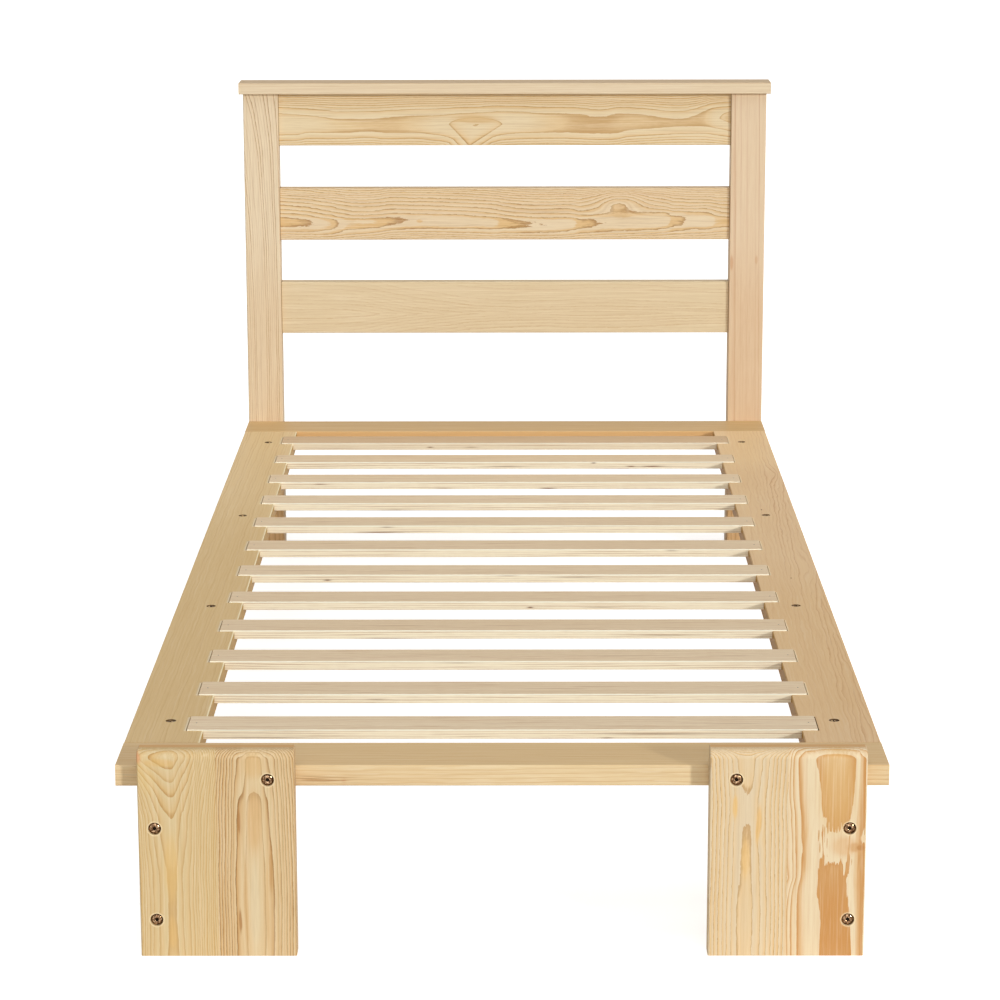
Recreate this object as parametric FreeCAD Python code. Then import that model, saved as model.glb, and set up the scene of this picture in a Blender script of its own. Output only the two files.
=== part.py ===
import FreeCAD, Part
import math
import os
from collections import namedtuple

# A child's single bed in solid pine. A low platform of four flat boards carries twelve slats in
# notches. Two broad boards stand in front of the platform as legs, and the posts of a three-rail
# headboard with a flat cap stand behind it. Tenons join the boards, and bolts in barrel nuts hold
# the frame together. The origin is on the floor at the middle of the bed, with +Y towards the
# headboard and +Z up. Lengths are in millimetres.

# Platform
platform_width = 900.0
platform_length = 2000.0
platform_height = 225.0
board_width = 90.0
board_thickness = 25.0
edge_ease = 1.2

# Slats
slat_count = 12
slat_width = 56.0
slat_thickness = 12.0
slat_bearing = 19.5
slat_proud = 1.5
slat_end_gap = 1.5
slat_side_gap = 0.4

# Front legs, each glued up from two staves
stave_width = 91.0
leg_thickness = 25.0
leg_rise = 25.0
leg_inset = 28.0
leg_top_round = 11.0

# Square-cut stock of the hidden blocks and side rails
stock_width = 60.0
stock_thickness = 38.0

# Headboard
post_width = 60.0
post_depth = 38.0
headboard_rise = 574.0
rail_count = 3
rail_height = 90.0
rail_thickness = 25.0
rail_gap = 74.0
cap_thickness = 19.0
cap_side_overhang = 6.5
cap_face_overhang = 12.0

# Tenons, and how much larger their mortises are
rail_tenon_length = 25.0
rail_tenon_thickness = 12.0
rail_tenon_shoulder = 12.0
post_tenon_length = 11.0
post_tenon_thickness = 14.0
post_tenon_shoulder = 10.0
deck_tenon_length = 15.0
deck_tenon_thickness = 9.0
deck_tenon_shoulder = 15.0
mortise_gap = 0.15
mortise_depth_gap = 0.8

# Bolts and barrel nuts
bolt_diameter = 6.0
bolt_head_diameter = 14.5
bolt_head_height = 3.2
bolt_socket = 4.0
bolt_socket_depth = 2.2
bolt_past_nut = 8.0
bolt_hole_gap = 0.25
counterbore_depth = 4.0
counterbore_gap = 0.4
nut_diameter = 10.0
nut_length = 14.0
nut_gap = 0.15
nut_thread_gap = 0.05
nut_setback = 50.0
foot_bolt_height = 44.5
rail_bolt_drop = 44.0
deck_bolt_depth = 10.0
leg_deck_bolt_inset = 31.0

# Screws through the side boards
screw_count = 4
screw_diameter = 4.5
screw_head_diameter = 11.0
screw_head_height = 4.2
screw_length = 48.0
screw_hole_gap = 0.2
screw_recess_depth = 5.0
screw_recess_gap = 0.5
screw_slot_width = 1.4
screw_slot_length = 6.0
screw_slot_depth = 2.0
screw_end_margin = 90.0

# Shanks, nuts and their drillings have this many flat sides, which keeps the facets few
round_sides = 12

overrun = 5.0
parallel_share = 0.999

X = FreeCAD.Vector(1, 0, 0)
Y = FreeCAD.Vector(0, 1, 0)
Z = FreeCAD.Vector(0, 0, 1)
LEFT = -1
RIGHT = 1

# Places that several pieces share
total_depth = leg_thickness + platform_length + post_depth + cap_face_overhang
leg_face_y = -total_depth / 2
platform_front = leg_face_y + leg_thickness
platform_rear = platform_front + platform_length
platform_side = platform_width / 2
platform_inner = platform_side - board_width
platform_under = platform_height - board_thickness
platform_middle = platform_height - board_thickness / 2
side_front = platform_front + board_width
side_rear = platform_rear - board_width
leg_outer = platform_side - leg_inset
leg_seam = leg_outer - stave_width
leg_inner = leg_seam - stave_width
stock_inner = leg_outer - stock_thickness
stock_middle = leg_outer - stock_thickness / 2
front_block_back = platform_front + stock_width
rear_block_front = platform_rear - stock_thickness
post_inner = platform_side - post_width
post_middle = platform_side - post_width / 2
post_back = platform_rear + post_depth
headboard_middle = platform_rear + post_depth / 2
cap_under = platform_height + headboard_rise
rail_bolt_height = platform_under - rail_bolt_drop
deck_bolt_height = platform_height - deck_bolt_depth
slat_half_length = platform_inner + slat_bearing
slat_top = platform_height + slat_proud
notch_floor = slat_top - slat_thickness

BoltJoint = namedtuple("BoltJoint", "face nut mouth")


def between(x_limits, y_limits, z_limits):
    """A square-cut piece between two limits on each axis, given in either order."""
    low = FreeCAD.Vector(min(x_limits), min(y_limits), min(z_limits))
    size = FreeCAD.Vector(max(x_limits), max(y_limits), max(z_limits)) - low
    return Part.makeBox(size.x, size.y, size.z, low)


def about(middle, size):
    """The two limits of a size centred on a place."""
    return middle - size / 2, middle + size / 2


def on_side(side, near, far):
    """The two X limits of a piece on one side of the bed."""
    return side * near, side * far


def edges_along(solid, axis):
    """The straight edges of a piece that run along one axis."""
    found = []
    for edge in solid.Edges:
        direction = edge.Vertexes[-1].Point - edge.Vertexes[0].Point
        if abs(direction.normalize().dot(axis)) > parallel_share:
            found.append(edge)
    return found


def eased(solid, axis):
    """The piece with its long edges taken off, as planed boards have them."""
    return solid.makeChamfer(edge_ease, edges_along(solid, axis))


def bore(start, end, radius):
    """A round counterbore between two points."""
    run = end - start
    return Part.makeCylinder(radius, run.Length, start, run)


def rod(start, end, radius):
    """A many-sided bar or drilling between two points, with a corner level with its axis."""
    run = end - start
    across = X if run.cross(Z).Length == 0 else run.cross(Z).normalize()
    corners = []
    for number in range(round_sides + 1):
        turn = FreeCAD.Rotation(run, 360 * (number % round_sides) / round_sides)
        corners.append(start + turn.multVec(across * radius))
    return Part.Face(Part.makePolygon(corners)).extrude(run)


def domed_head(radius, height):
    """A bolt's head turned about Z, its flat seat at the origin and its dome above."""
    ball = (height * height + radius * radius) / (2 * height)
    half_angle = math.asin(radius / ball) / 2
    seat = FreeCAD.Vector()
    rim = FreeCAD.Vector(radius, 0, 0)
    crown = FreeCAD.Vector(0, 0, height)
    bulge = FreeCAD.Vector(ball * math.sin(half_angle), 0, height - ball + ball * math.cos(half_angle))
    edges = [
        Part.makeLine(crown, seat),
        Part.makeLine(seat, rim),
        Part.Arc(rim, bulge, crown).toShape(),
    ]
    return Part.Face(Part.Wire(edges)).revolve(seat, Z, 360)


def hexagon_socket():
    """The key socket in a bolt's head."""
    corner = bolt_socket / math.sqrt(3)
    floor = bolt_head_height - bolt_socket_depth
    points = []
    for number in range(7):
        angle = number % 6 * math.pi / 3
        points.append(FreeCAD.Vector(corner * math.cos(angle), corner * math.sin(angle), floor))
    return Part.Face(Part.makePolygon(points)).extrude(Z * (bolt_socket_depth + overrun))


def cross_recess():
    """The cross-shaped driver recess in a screw's head."""
    heights = (screw_head_height - screw_slot_depth, screw_head_height + overrun)
    long_limits = about(0, screw_slot_length)
    short_limits = about(0, screw_slot_width)
    return between(long_limits, short_limits, heights).fuse(between(short_limits, long_limits, heights))


def fastener(head, shank_radius, length, seat, outward):
    """A bolt or screw with its head turned outwards and its shank below the seat."""
    head.Placement = FreeCAD.Placement(seat, FreeCAD.Rotation(Z, outward))
    return head.fuse(rod(seat, seat - outward * length, shank_radius)).removeSplitter()


def inward(joint):
    """The direction in which a joint's bolt is driven."""
    return (joint.nut - joint.face).normalize()


def bolt(joint):
    """The bolt of a joint, its head seated at the bottom of the counterbore."""
    seat = joint.face + inward(joint) * counterbore_depth
    length = (joint.nut - seat).Length + bolt_past_nut
    head = domed_head(bolt_head_diameter / 2, bolt_head_height).cut(hexagon_socket())
    return fastener(head, bolt_diameter / 2, length, seat, -inward(joint))


def barrel_nut(joint):
    """The cross nut that a joint's bolt runs through."""
    half = (joint.nut - joint.mouth).normalize() * (nut_length / 2)
    body = rod(joint.nut - half, joint.nut + half, nut_diameter / 2)
    reach = inward(joint) * nut_diameter
    return body.cut(rod(joint.nut - reach, joint.nut + reach, bolt_diameter / 2 + nut_thread_gap))


def drillings(joint):
    """What a joint's bolt and nut need cut out of the wood: counterbore, bolt hole and nut hole."""
    direction = inward(joint)
    seat = joint.face + direction * counterbore_depth
    tip = joint.nut + direction * (bolt_past_nut + nut_gap)
    nut_way = (joint.nut - joint.mouth).normalize()
    return [
        bore(joint.face - direction * overrun, seat, bolt_head_diameter / 2 + counterbore_gap),
        rod(joint.face, tip, bolt_diameter / 2 + bolt_hole_gap),
        rod(
            joint.mouth - nut_way * overrun,
            joint.nut + nut_way * (nut_length / 2 + nut_gap),
            nut_diameter / 2 + nut_gap),
    ]


def front_joints(side):
    """The three bolts of one front leg: into the platform, the side rail and the leg block."""
    deck_x = side * (leg_inner + leg_deck_bolt_inset)
    deck_nut_y = platform_front + nut_setback
    line_x = side * stock_middle
    mouth_x = side * stock_inner
    rail_nut_y = front_block_back + nut_setback
    block_nut_y = platform_front + stock_width / 2
    return [
        BoltJoint(
            FreeCAD.Vector(deck_x, leg_face_y, deck_bolt_height),
            FreeCAD.Vector(deck_x, deck_nut_y, deck_bolt_height),
            FreeCAD.Vector(deck_x, deck_nut_y, platform_under)),
        BoltJoint(
            FreeCAD.Vector(line_x, leg_face_y, rail_bolt_height),
            FreeCAD.Vector(line_x, rail_nut_y, rail_bolt_height),
            FreeCAD.Vector(mouth_x, rail_nut_y, rail_bolt_height)),
        BoltJoint(
            FreeCAD.Vector(line_x, leg_face_y, foot_bolt_height),
            FreeCAD.Vector(line_x, block_nut_y, foot_bolt_height),
            FreeCAD.Vector(mouth_x, block_nut_y, foot_bolt_height)),
    ]


def rear_joints(side):
    """The two bolts of one headboard post: into the platform, and through the block into the rail."""
    deck_x = side * post_middle
    deck_nut_y = platform_rear - nut_setback
    rail_x = side * (post_inner + leg_outer) / 2
    rail_nut_y = rear_block_front - nut_setback
    return [
        BoltJoint(
            FreeCAD.Vector(deck_x, post_back, deck_bolt_height),
            FreeCAD.Vector(deck_x, deck_nut_y, deck_bolt_height),
            FreeCAD.Vector(deck_x, deck_nut_y, platform_under)),
        BoltJoint(
            FreeCAD.Vector(rail_x, post_back, rail_bolt_height),
            FreeCAD.Vector(rail_x, rail_nut_y, rail_bolt_height),
            FreeCAD.Vector(side * stock_inner, rail_nut_y, rail_bolt_height)),
    ]


def all_drillings(joints):
    """The drillings of several joints in one list."""
    return [tool for joint in joints for tool in drillings(joint)]


def screw_places(side):
    """Where the screws of one side board enter its top."""
    first = side_front + screw_end_margin
    step = (side_rear - side_front - 2 * screw_end_margin) / (screw_count - 1)
    return [
        FreeCAD.Vector(side * stock_middle, first + step * number, platform_height)
        for number in range(screw_count)]


def deck_screw(place):
    """One screw, its flat head at the bottom of its recess in the side board."""
    head = Part.makeCylinder(screw_head_diameter / 2, screw_head_height).cut(cross_recess())
    return fastener(head, screw_diameter / 2, screw_length, place - Z * screw_recess_depth, Z)


def screw_drillings(place):
    """The recess and the hole of one screw."""
    seat = place - Z * screw_recess_depth
    tip = seat - Z * (screw_length + screw_hole_gap)
    return [
        bore(place + Z * overrun, seat, screw_head_diameter / 2 + screw_recess_gap),
        rod(place, tip, screw_diameter / 2 + screw_hole_gap),
    ]


def all_screw_drillings(side):
    """The recesses and holes of one side board's screws."""
    return [tool for place in screw_places(side) for tool in screw_drillings(place)]


def rail_middle_height(number):
    """The height of a headboard rail's centre line, counted from the top rail down."""
    return cap_under - rail_height / 2 - number * (rail_height + rail_gap)


def rail_tenon(side, number, gap, end_gap):
    """The tenon at one end of a headboard rail, or with gaps the mortise that it fills."""
    return between(
        on_side(side, post_inner - gap, post_inner + rail_tenon_length + end_gap),
        about(headboard_middle, rail_tenon_thickness + 2 * gap),
        about(rail_middle_height(number), rail_height - 2 * rail_tenon_shoulder + 2 * gap))


def post_tenon(side, gap, end_gap):
    """The tenon on top of a post, or with gaps the mortise for it in the cap."""
    return between(
        about(side * post_middle, post_width - 2 * post_tenon_shoulder + 2 * gap),
        about(headboard_middle, post_tenon_thickness + 2 * gap),
        (cap_under - gap, cap_under + post_tenon_length + end_gap))


def deck_tenon(side, seam, outward, gap, end_gap):
    """The tenon at one end of a side board, or with gaps its mortise in the cross board."""
    return between(
        about(side * (platform_side - board_width / 2), board_width - 2 * deck_tenon_shoulder + 2 * gap),
        (seam - outward * gap, seam + outward * (deck_tenon_length + end_gap)),
        about(platform_middle, deck_tenon_thickness + 2 * gap))


def headboard_rail(number):
    """One headboard rail with a tenon at each end."""
    rail = between(
        (-post_inner, post_inner),
        about(headboard_middle, rail_thickness),
        about(rail_middle_height(number), rail_height))
    tenons = [rail_tenon(side, number, 0, 0) for side in (LEFT, RIGHT)]
    return eased(rail, X).fuse(tenons).removeSplitter()


def headboard_post(side):
    """One post with a tenon on top, mortises for the rails and holes for its bolts."""
    post = between(
        on_side(side, post_inner, platform_side), (platform_rear, post_back), (0, cap_under))
    post = eased(post, Z).fuse(post_tenon(side, 0, 0)).removeSplitter()
    mortises = [rail_tenon(side, number, mortise_gap, mortise_depth_gap) for number in range(rail_count)]
    return post.cut(mortises + all_drillings(rear_joints(side)))


def headboard_cap():
    """The flat cap over the posts and the top rail."""
    cap = between(
        about(0, platform_width + 2 * cap_side_overhang),
        (platform_rear - cap_face_overhang, post_back + cap_face_overhang),
        (cap_under, cap_under + cap_thickness))
    return eased(cap, X).cut([post_tenon(side, mortise_gap, mortise_depth_gap) for side in (LEFT, RIGHT)])


def cross_board(seam, outward, far, joints):
    """The platform's front or rear board, over its full width, mortised for the side boards."""
    board = between(
        (-platform_side, platform_side), (seam, far), (platform_under, platform_height))
    mortises = [
        deck_tenon(side, seam, outward, mortise_gap, mortise_depth_gap) for side in (LEFT, RIGHT)]
    return eased(board, X).cut(mortises + all_drillings(joints))


def slat_middles():
    """The Y of each slat's centre line, in equal cells between the cross boards."""
    pitch = (side_rear - side_front) / slat_count
    return [side_front + pitch * (number + 1 / 2) for number in range(slat_count)]


def slat_notch(side, middle):
    """The notch that one slat end lies in."""
    return between(
        on_side(side, platform_inner - overrun, slat_half_length + slat_end_gap),
        about(middle, slat_width + 2 * slat_side_gap),
        (notch_floor, platform_height + overrun))


def side_board(side):
    """One long board of the platform, tenoned, notched for the slats and recessed for its screws."""
    board = between(
        on_side(side, platform_inner, platform_side),
        (side_front, side_rear),
        (platform_under, platform_height))
    tenons = [deck_tenon(side, side_front, -1, 0, 0), deck_tenon(side, side_rear, 1, 0, 0)]
    notches = [slat_notch(side, middle) for middle in slat_middles()]
    return eased(board, Y).fuse(tenons).removeSplitter().cut(notches + all_screw_drillings(side))


def slat(middle):
    """One slat, lying in its two notches."""
    return between(
        (-slat_half_length, slat_half_length), about(middle, slat_width), (notch_floor, slat_top))


def side_rail(side):
    """The rail under one side board, from the front leg block to the rear one."""
    rail = between(
        on_side(side, stock_inner, leg_outer),
        (front_block_back, rear_block_front),
        (platform_under - stock_width, platform_under))
    joints = front_joints(side) + rear_joints(side)
    return eased(rail, Y).cut(all_drillings(joints) + all_screw_drillings(side))


def front_leg_block(side):
    """The block behind a front leg, under the platform's front corner."""
    block = between(
        on_side(side, stock_inner, leg_outer), (platform_front, front_block_back), (0, platform_under))
    return eased(block, Z).cut(all_drillings(front_joints(side)))


def rear_leg_block(side):
    """The block in front of a post, under the platform's rear corner."""
    block = between(
        on_side(side, post_inner, platform_side), (rear_block_front, platform_rear), (0, platform_under))
    return eased(block, Z).cut(all_drillings(rear_joints(side)))


def leg_stave(side, seam, edge):
    """One stave of a front leg, rounded over at its top front edge and eased at its free edge."""
    top = platform_height + leg_rise
    stave = between(on_side(side, seam, edge), (leg_face_y, platform_front), (0, top))
    front_top = [
        line for line in edges_along(stave, X)
        if line.CenterOfMass.y < platform_front - leg_thickness / 2 and line.CenterOfMass.z > top / 2]
    stave = stave.makeFillet(leg_top_round, front_top)
    middle = side * (seam + edge) / 2
    outward = side * edge - middle
    free_edges = [
        line for line in edges_along(stave, Z) if (line.CenterOfMass.x - middle) * outward > 0]
    return stave.makeChamfer(edge_ease, free_edges).cut(all_drillings(front_joints(side)))


def headboard_nodes():
    """Posts, rails and cap."""
    nodes = {
        "headboard_post_left": headboard_post(LEFT),
        "headboard_post_right": headboard_post(RIGHT),
        "headboard_cap": headboard_cap(),
    }
    for number in range(rail_count):
        nodes["headboard_rail_%d" % (number + 1)] = headboard_rail(number)
    return nodes


def platform_nodes():
    """Boards, side rails, slats and screws of the platform."""
    front_bolts = front_joints(LEFT) + front_joints(RIGHT)
    rear_bolts = rear_joints(LEFT) + rear_joints(RIGHT)
    screws = [deck_screw(place) for place in screw_places(LEFT) + screw_places(RIGHT)]
    nodes = {
        "deck_board_front": cross_board(side_front, -1, platform_front, front_bolts),
        "deck_board_rear": cross_board(side_rear, 1, platform_rear, rear_bolts),
        "side_board_left": side_board(LEFT),
        "side_board_right": side_board(RIGHT),
        "side_rail_left": side_rail(LEFT),
        "side_rail_right": side_rail(RIGHT),
        "deck_screws": Part.makeCompound(screws),
    }
    for number, middle in enumerate(slat_middles(), start=1):
        nodes["slat_%02d" % number] = slat(middle)
    return nodes


def leg_nodes():
    """Front leg staves, leg blocks, and the bolts and nuts that hold the frame."""
    nodes = {}
    for side, name in ((LEFT, "left"), (RIGHT, "right")):
        nodes["front_leg_%s_outer_stave" % name] = leg_stave(side, leg_seam, leg_outer)
        nodes["front_leg_%s_inner_stave" % name] = leg_stave(side, leg_seam, leg_inner)
        nodes["front_leg_block_" + name] = front_leg_block(side)
        nodes["rear_leg_block_" + name] = rear_leg_block(side)
    for place, joints_of in (("front_leg", front_joints), ("headboard", rear_joints)):
        joints = joints_of(LEFT) + joints_of(RIGHT)
        nodes[place + "_bolts"] = Part.makeCompound([bolt(joint) for joint in joints])
        nodes[place + "_barrel_nuts"] = Part.makeCompound([barrel_nut(joint) for joint in joints])
    return nodes


os.makedirs("parts", exist_ok=True)
bed = {**headboard_nodes(), **platform_nodes(), **leg_nodes()}
for node, shape in bed.items():
    shape.exportStep("parts/" + node + ".step")
    print(node, len(shape.Solids), "solids", round(shape.Volume), "mm3", shape.isValid())
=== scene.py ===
"""The looks of a child's pine single bed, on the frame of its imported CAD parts."""

import math

import bmesh
import bpy
from mathutils import Matrix, Vector


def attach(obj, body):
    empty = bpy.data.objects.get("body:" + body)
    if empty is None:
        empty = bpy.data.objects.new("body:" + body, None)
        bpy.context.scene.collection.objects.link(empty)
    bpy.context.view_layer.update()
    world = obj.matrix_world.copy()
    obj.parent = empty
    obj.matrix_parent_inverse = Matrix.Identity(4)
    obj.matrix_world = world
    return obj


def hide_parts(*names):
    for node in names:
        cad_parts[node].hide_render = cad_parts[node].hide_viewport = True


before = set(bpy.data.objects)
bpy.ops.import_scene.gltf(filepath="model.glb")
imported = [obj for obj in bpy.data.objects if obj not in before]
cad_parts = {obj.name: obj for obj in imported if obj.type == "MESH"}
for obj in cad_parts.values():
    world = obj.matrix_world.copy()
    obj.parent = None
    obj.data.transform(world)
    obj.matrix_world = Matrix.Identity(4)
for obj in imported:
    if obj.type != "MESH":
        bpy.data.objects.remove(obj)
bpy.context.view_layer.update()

MM = 0.001

# Places shared with the CAD source, in millimetres
leg_face_y = -1037.5
leg_middle_z = 125.0
platform_top = 225.0
slat_top = 226.5
slat_pitch = 1820 / 12
slat_first_y = -922.5 + slat_pitch / 2
slat_count = 12
slat_half_width = 28.0
deck_middle_y = -12.5
post_face_y = 987.5
post_inner_x = 390.0
rail_face_y = 994.0
cap_top = 818.0
post_back_y = 1025.5
screw_x = 403.0
screw_ys = tuple(-832.5 + 1640 / 3 * number for number in range(4))
screw_seat_z = 220.0
screw_length = 48.0
brad_x = 370.5
counterbore_depth = 4.0
counterbore_rim_radius = 8.2
bolt_middle_y = (leg_face_y + post_back_y) / 2
bolt_seat_reach = (post_back_y - leg_face_y) / 2 - counterbore_depth
# Each bolt's distance from the middle, its height and its shank's length
front_bolts = ((271.0, 215.0, 79.0), (403.0, 156.0, 139.0), (403.0, 44.5, 59.0))
rear_bolts = ((420.0, 215.0, 92.0), (406.0, 156.0, 130.0))


def paint(red, green, blue):
    """A colour given on the usual 0 to 255 scale."""
    linear = []
    for value in (red, green, blue):
        share = value / 255
        linear.append(share / 12.92 if share <= 0.04045 else ((share + 0.055) / 1.055) ** 2.4)
    return (*linear, 1.0)


# Materials

wood_specular = 0.04
slat_specular = 0.05
pale_fibre = (250, 236, 208)
leg_end_grain = (220, 174, 122)
# Where the painted shade around the screws' recesses fades, in millimetres from each screw's axis
screw_shade_start = 5.9
screw_shade_end = 6.9


def plug(tree, value, socket):
    """Gives a socket a constant or what another node puts out."""
    if isinstance(value, Field):
        value = value.socket
    if isinstance(value, bpy.types.NodeSocket):
        tree.links.new(value, socket)
    else:
        socket.default_value = value


def compute(tree, operation, *values):
    """One math node."""
    node = tree.nodes.new("ShaderNodeMath")
    node.operation = operation
    for socket, value in zip(node.inputs, values):
        plug(tree, value, socket)
    return Field(tree, node.outputs[0])


class Field:
    """A number that varies over a surface. Arithmetic on it adds math nodes to its material."""

    def __init__(self, tree, socket):
        self.tree = tree
        self.socket = socket

    def __add__(self, other):
        return compute(self.tree, "ADD", self, other)

    def __sub__(self, other):
        return compute(self.tree, "SUBTRACT", self, other)

    def __rsub__(self, other):
        return compute(self.tree, "SUBTRACT", other, self)

    def __mul__(self, other):
        return compute(self.tree, "MULTIPLY", self, other)

    def __truediv__(self, other):
        return compute(self.tree, "DIVIDE", self, other)

    def __pow__(self, other):
        return compute(self.tree, "POWER", self, other)

    def size(self):
        return compute(self.tree, "ABSOLUTE", self)

    def whole(self):
        return compute(self.tree, "FLOOR", self)

    def above(self, least):
        return compute(self.tree, "MAXIMUM", self, least)

    def below(self, most):
        return compute(self.tree, "MINIMUM", self, most)

    def bell(self):
        """e to the power of minus this."""
        return compute(self.tree, "EXPONENT", self * -1.0)

    def rise(self, low, high):
        """0 below low, 1 above high, and a smooth step between them."""
        node = self.tree.nodes.new("ShaderNodeMapRange")
        node.interpolation_type = "SMOOTHSTEP"
        plug(self.tree, self, node.inputs["Value"])
        node.inputs["From Min"].default_value = low
        node.inputs["From Max"].default_value = high
        return Field(self.tree, node.outputs["Result"])

    def follow(self, points):
        """A smooth curve through points of (this number, result)."""
        start, end = points[0][0], points[-1][0]
        low = min(value for _, value in points)
        span = max(value for _, value in points) - low
        node = self.tree.nodes.new("ShaderNodeFloatCurve")
        curve = node.mapping.curves[0]
        for number, (place, value) in enumerate(points):
            spot = ((place - start) / (end - start), (value - low) / span)
            if number == 0:
                curve.points[0].location = spot
            elif number == len(points) - 1:
                curve.points[-1].location = spot
            else:
                curve.points.new(*spot)
        for point in curve.points:
            point.handle_type = "AUTO_CLAMPED"
        node.mapping.update()
        plug(self.tree, (self - start) / (end - start), node.inputs["Value"])
        return Field(self.tree, node.outputs["Value"]) * span + low


class Surface:
    """A material being built, with short calls for the nodes that it needs."""

    def __init__(self, name):
        self.material = bpy.data.materials.new(name)
        self.material.use_nodes = True
        self.tree = self.material.node_tree
        self.shader = self.tree.nodes["Principled BSDF"]
        coordinates = self.tree.nodes.new("ShaderNodeTexCoord")
        self.place = self.split(coordinates.outputs["Object"])

    def split(self, vector):
        node = self.tree.nodes.new("ShaderNodeSeparateXYZ")
        plug(self.tree, vector, node.inputs[0])
        return [Field(self.tree, socket) for socket in node.outputs]

    def vector(self, *parts):
        node = self.tree.nodes.new("ShaderNodeCombineXYZ")
        for part, socket in zip(parts, node.inputs):
            plug(self.tree, part, socket)
        return node.outputs[0]

    def noise(self, *parts, detail=2.0, roughness=0.5):
        """Smooth noise between about -1 and 1 at a place given in its own wavelengths."""
        node = self.tree.nodes.new("ShaderNodeTexNoise")
        plug(self.tree, self.vector(*parts), node.inputs["Vector"])
        node.inputs["Scale"].default_value = 1.0
        node.inputs["Detail"].default_value = detail
        node.inputs["Roughness"].default_value = roughness
        return Field(self.tree, node.outputs["Fac"]) * 4.0 - 2.0

    def luck(self, number):
        """One random share for each whole number."""
        node = self.tree.nodes.new("ShaderNodeTexWhiteNoise")
        node.noise_dimensions = "1D"
        plug(self.tree, number, node.inputs["W"])
        return Field(self.tree, node.outputs["Value"])

    def mix(self, share, first, second):
        """The first colour where the share is 0, the second where it is 1."""
        node = self.tree.nodes.new("ShaderNodeMix")
        node.data_type = "RGBA"
        node.blend_type = "MIX"
        node.clamp_factor = True
        plug(self.tree, share, node.inputs["Factor"])
        colours = [socket for socket in node.inputs if socket.type == "RGBA"]
        plug(self.tree, first, colours[0])
        plug(self.tree, second, colours[1])
        return [socket for socket in node.outputs if socket.type == "RGBA"][0]

    def normal(self):
        """The three parts of the surface's own normal."""
        return self.split(self.tree.nodes.new("ShaderNodeNewGeometry").outputs["Normal"])

    def finish(self, colour, roughness, height, strength, reach):
        """Connects the results to the shader."""
        plug(self.tree, colour, self.shader.inputs["Base Color"])
        plug(self.tree, roughness, self.shader.inputs["Roughness"])
        bump = self.tree.nodes.new("ShaderNodeBump")
        bump.inputs["Strength"].default_value = strength
        bump.inputs["Distance"].default_value = reach
        plug(self.tree, height, bump.inputs["Height"])
        plug(self.tree, bump.outputs["Normal"], self.shader.inputs["Normal"])
        return self.material


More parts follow.
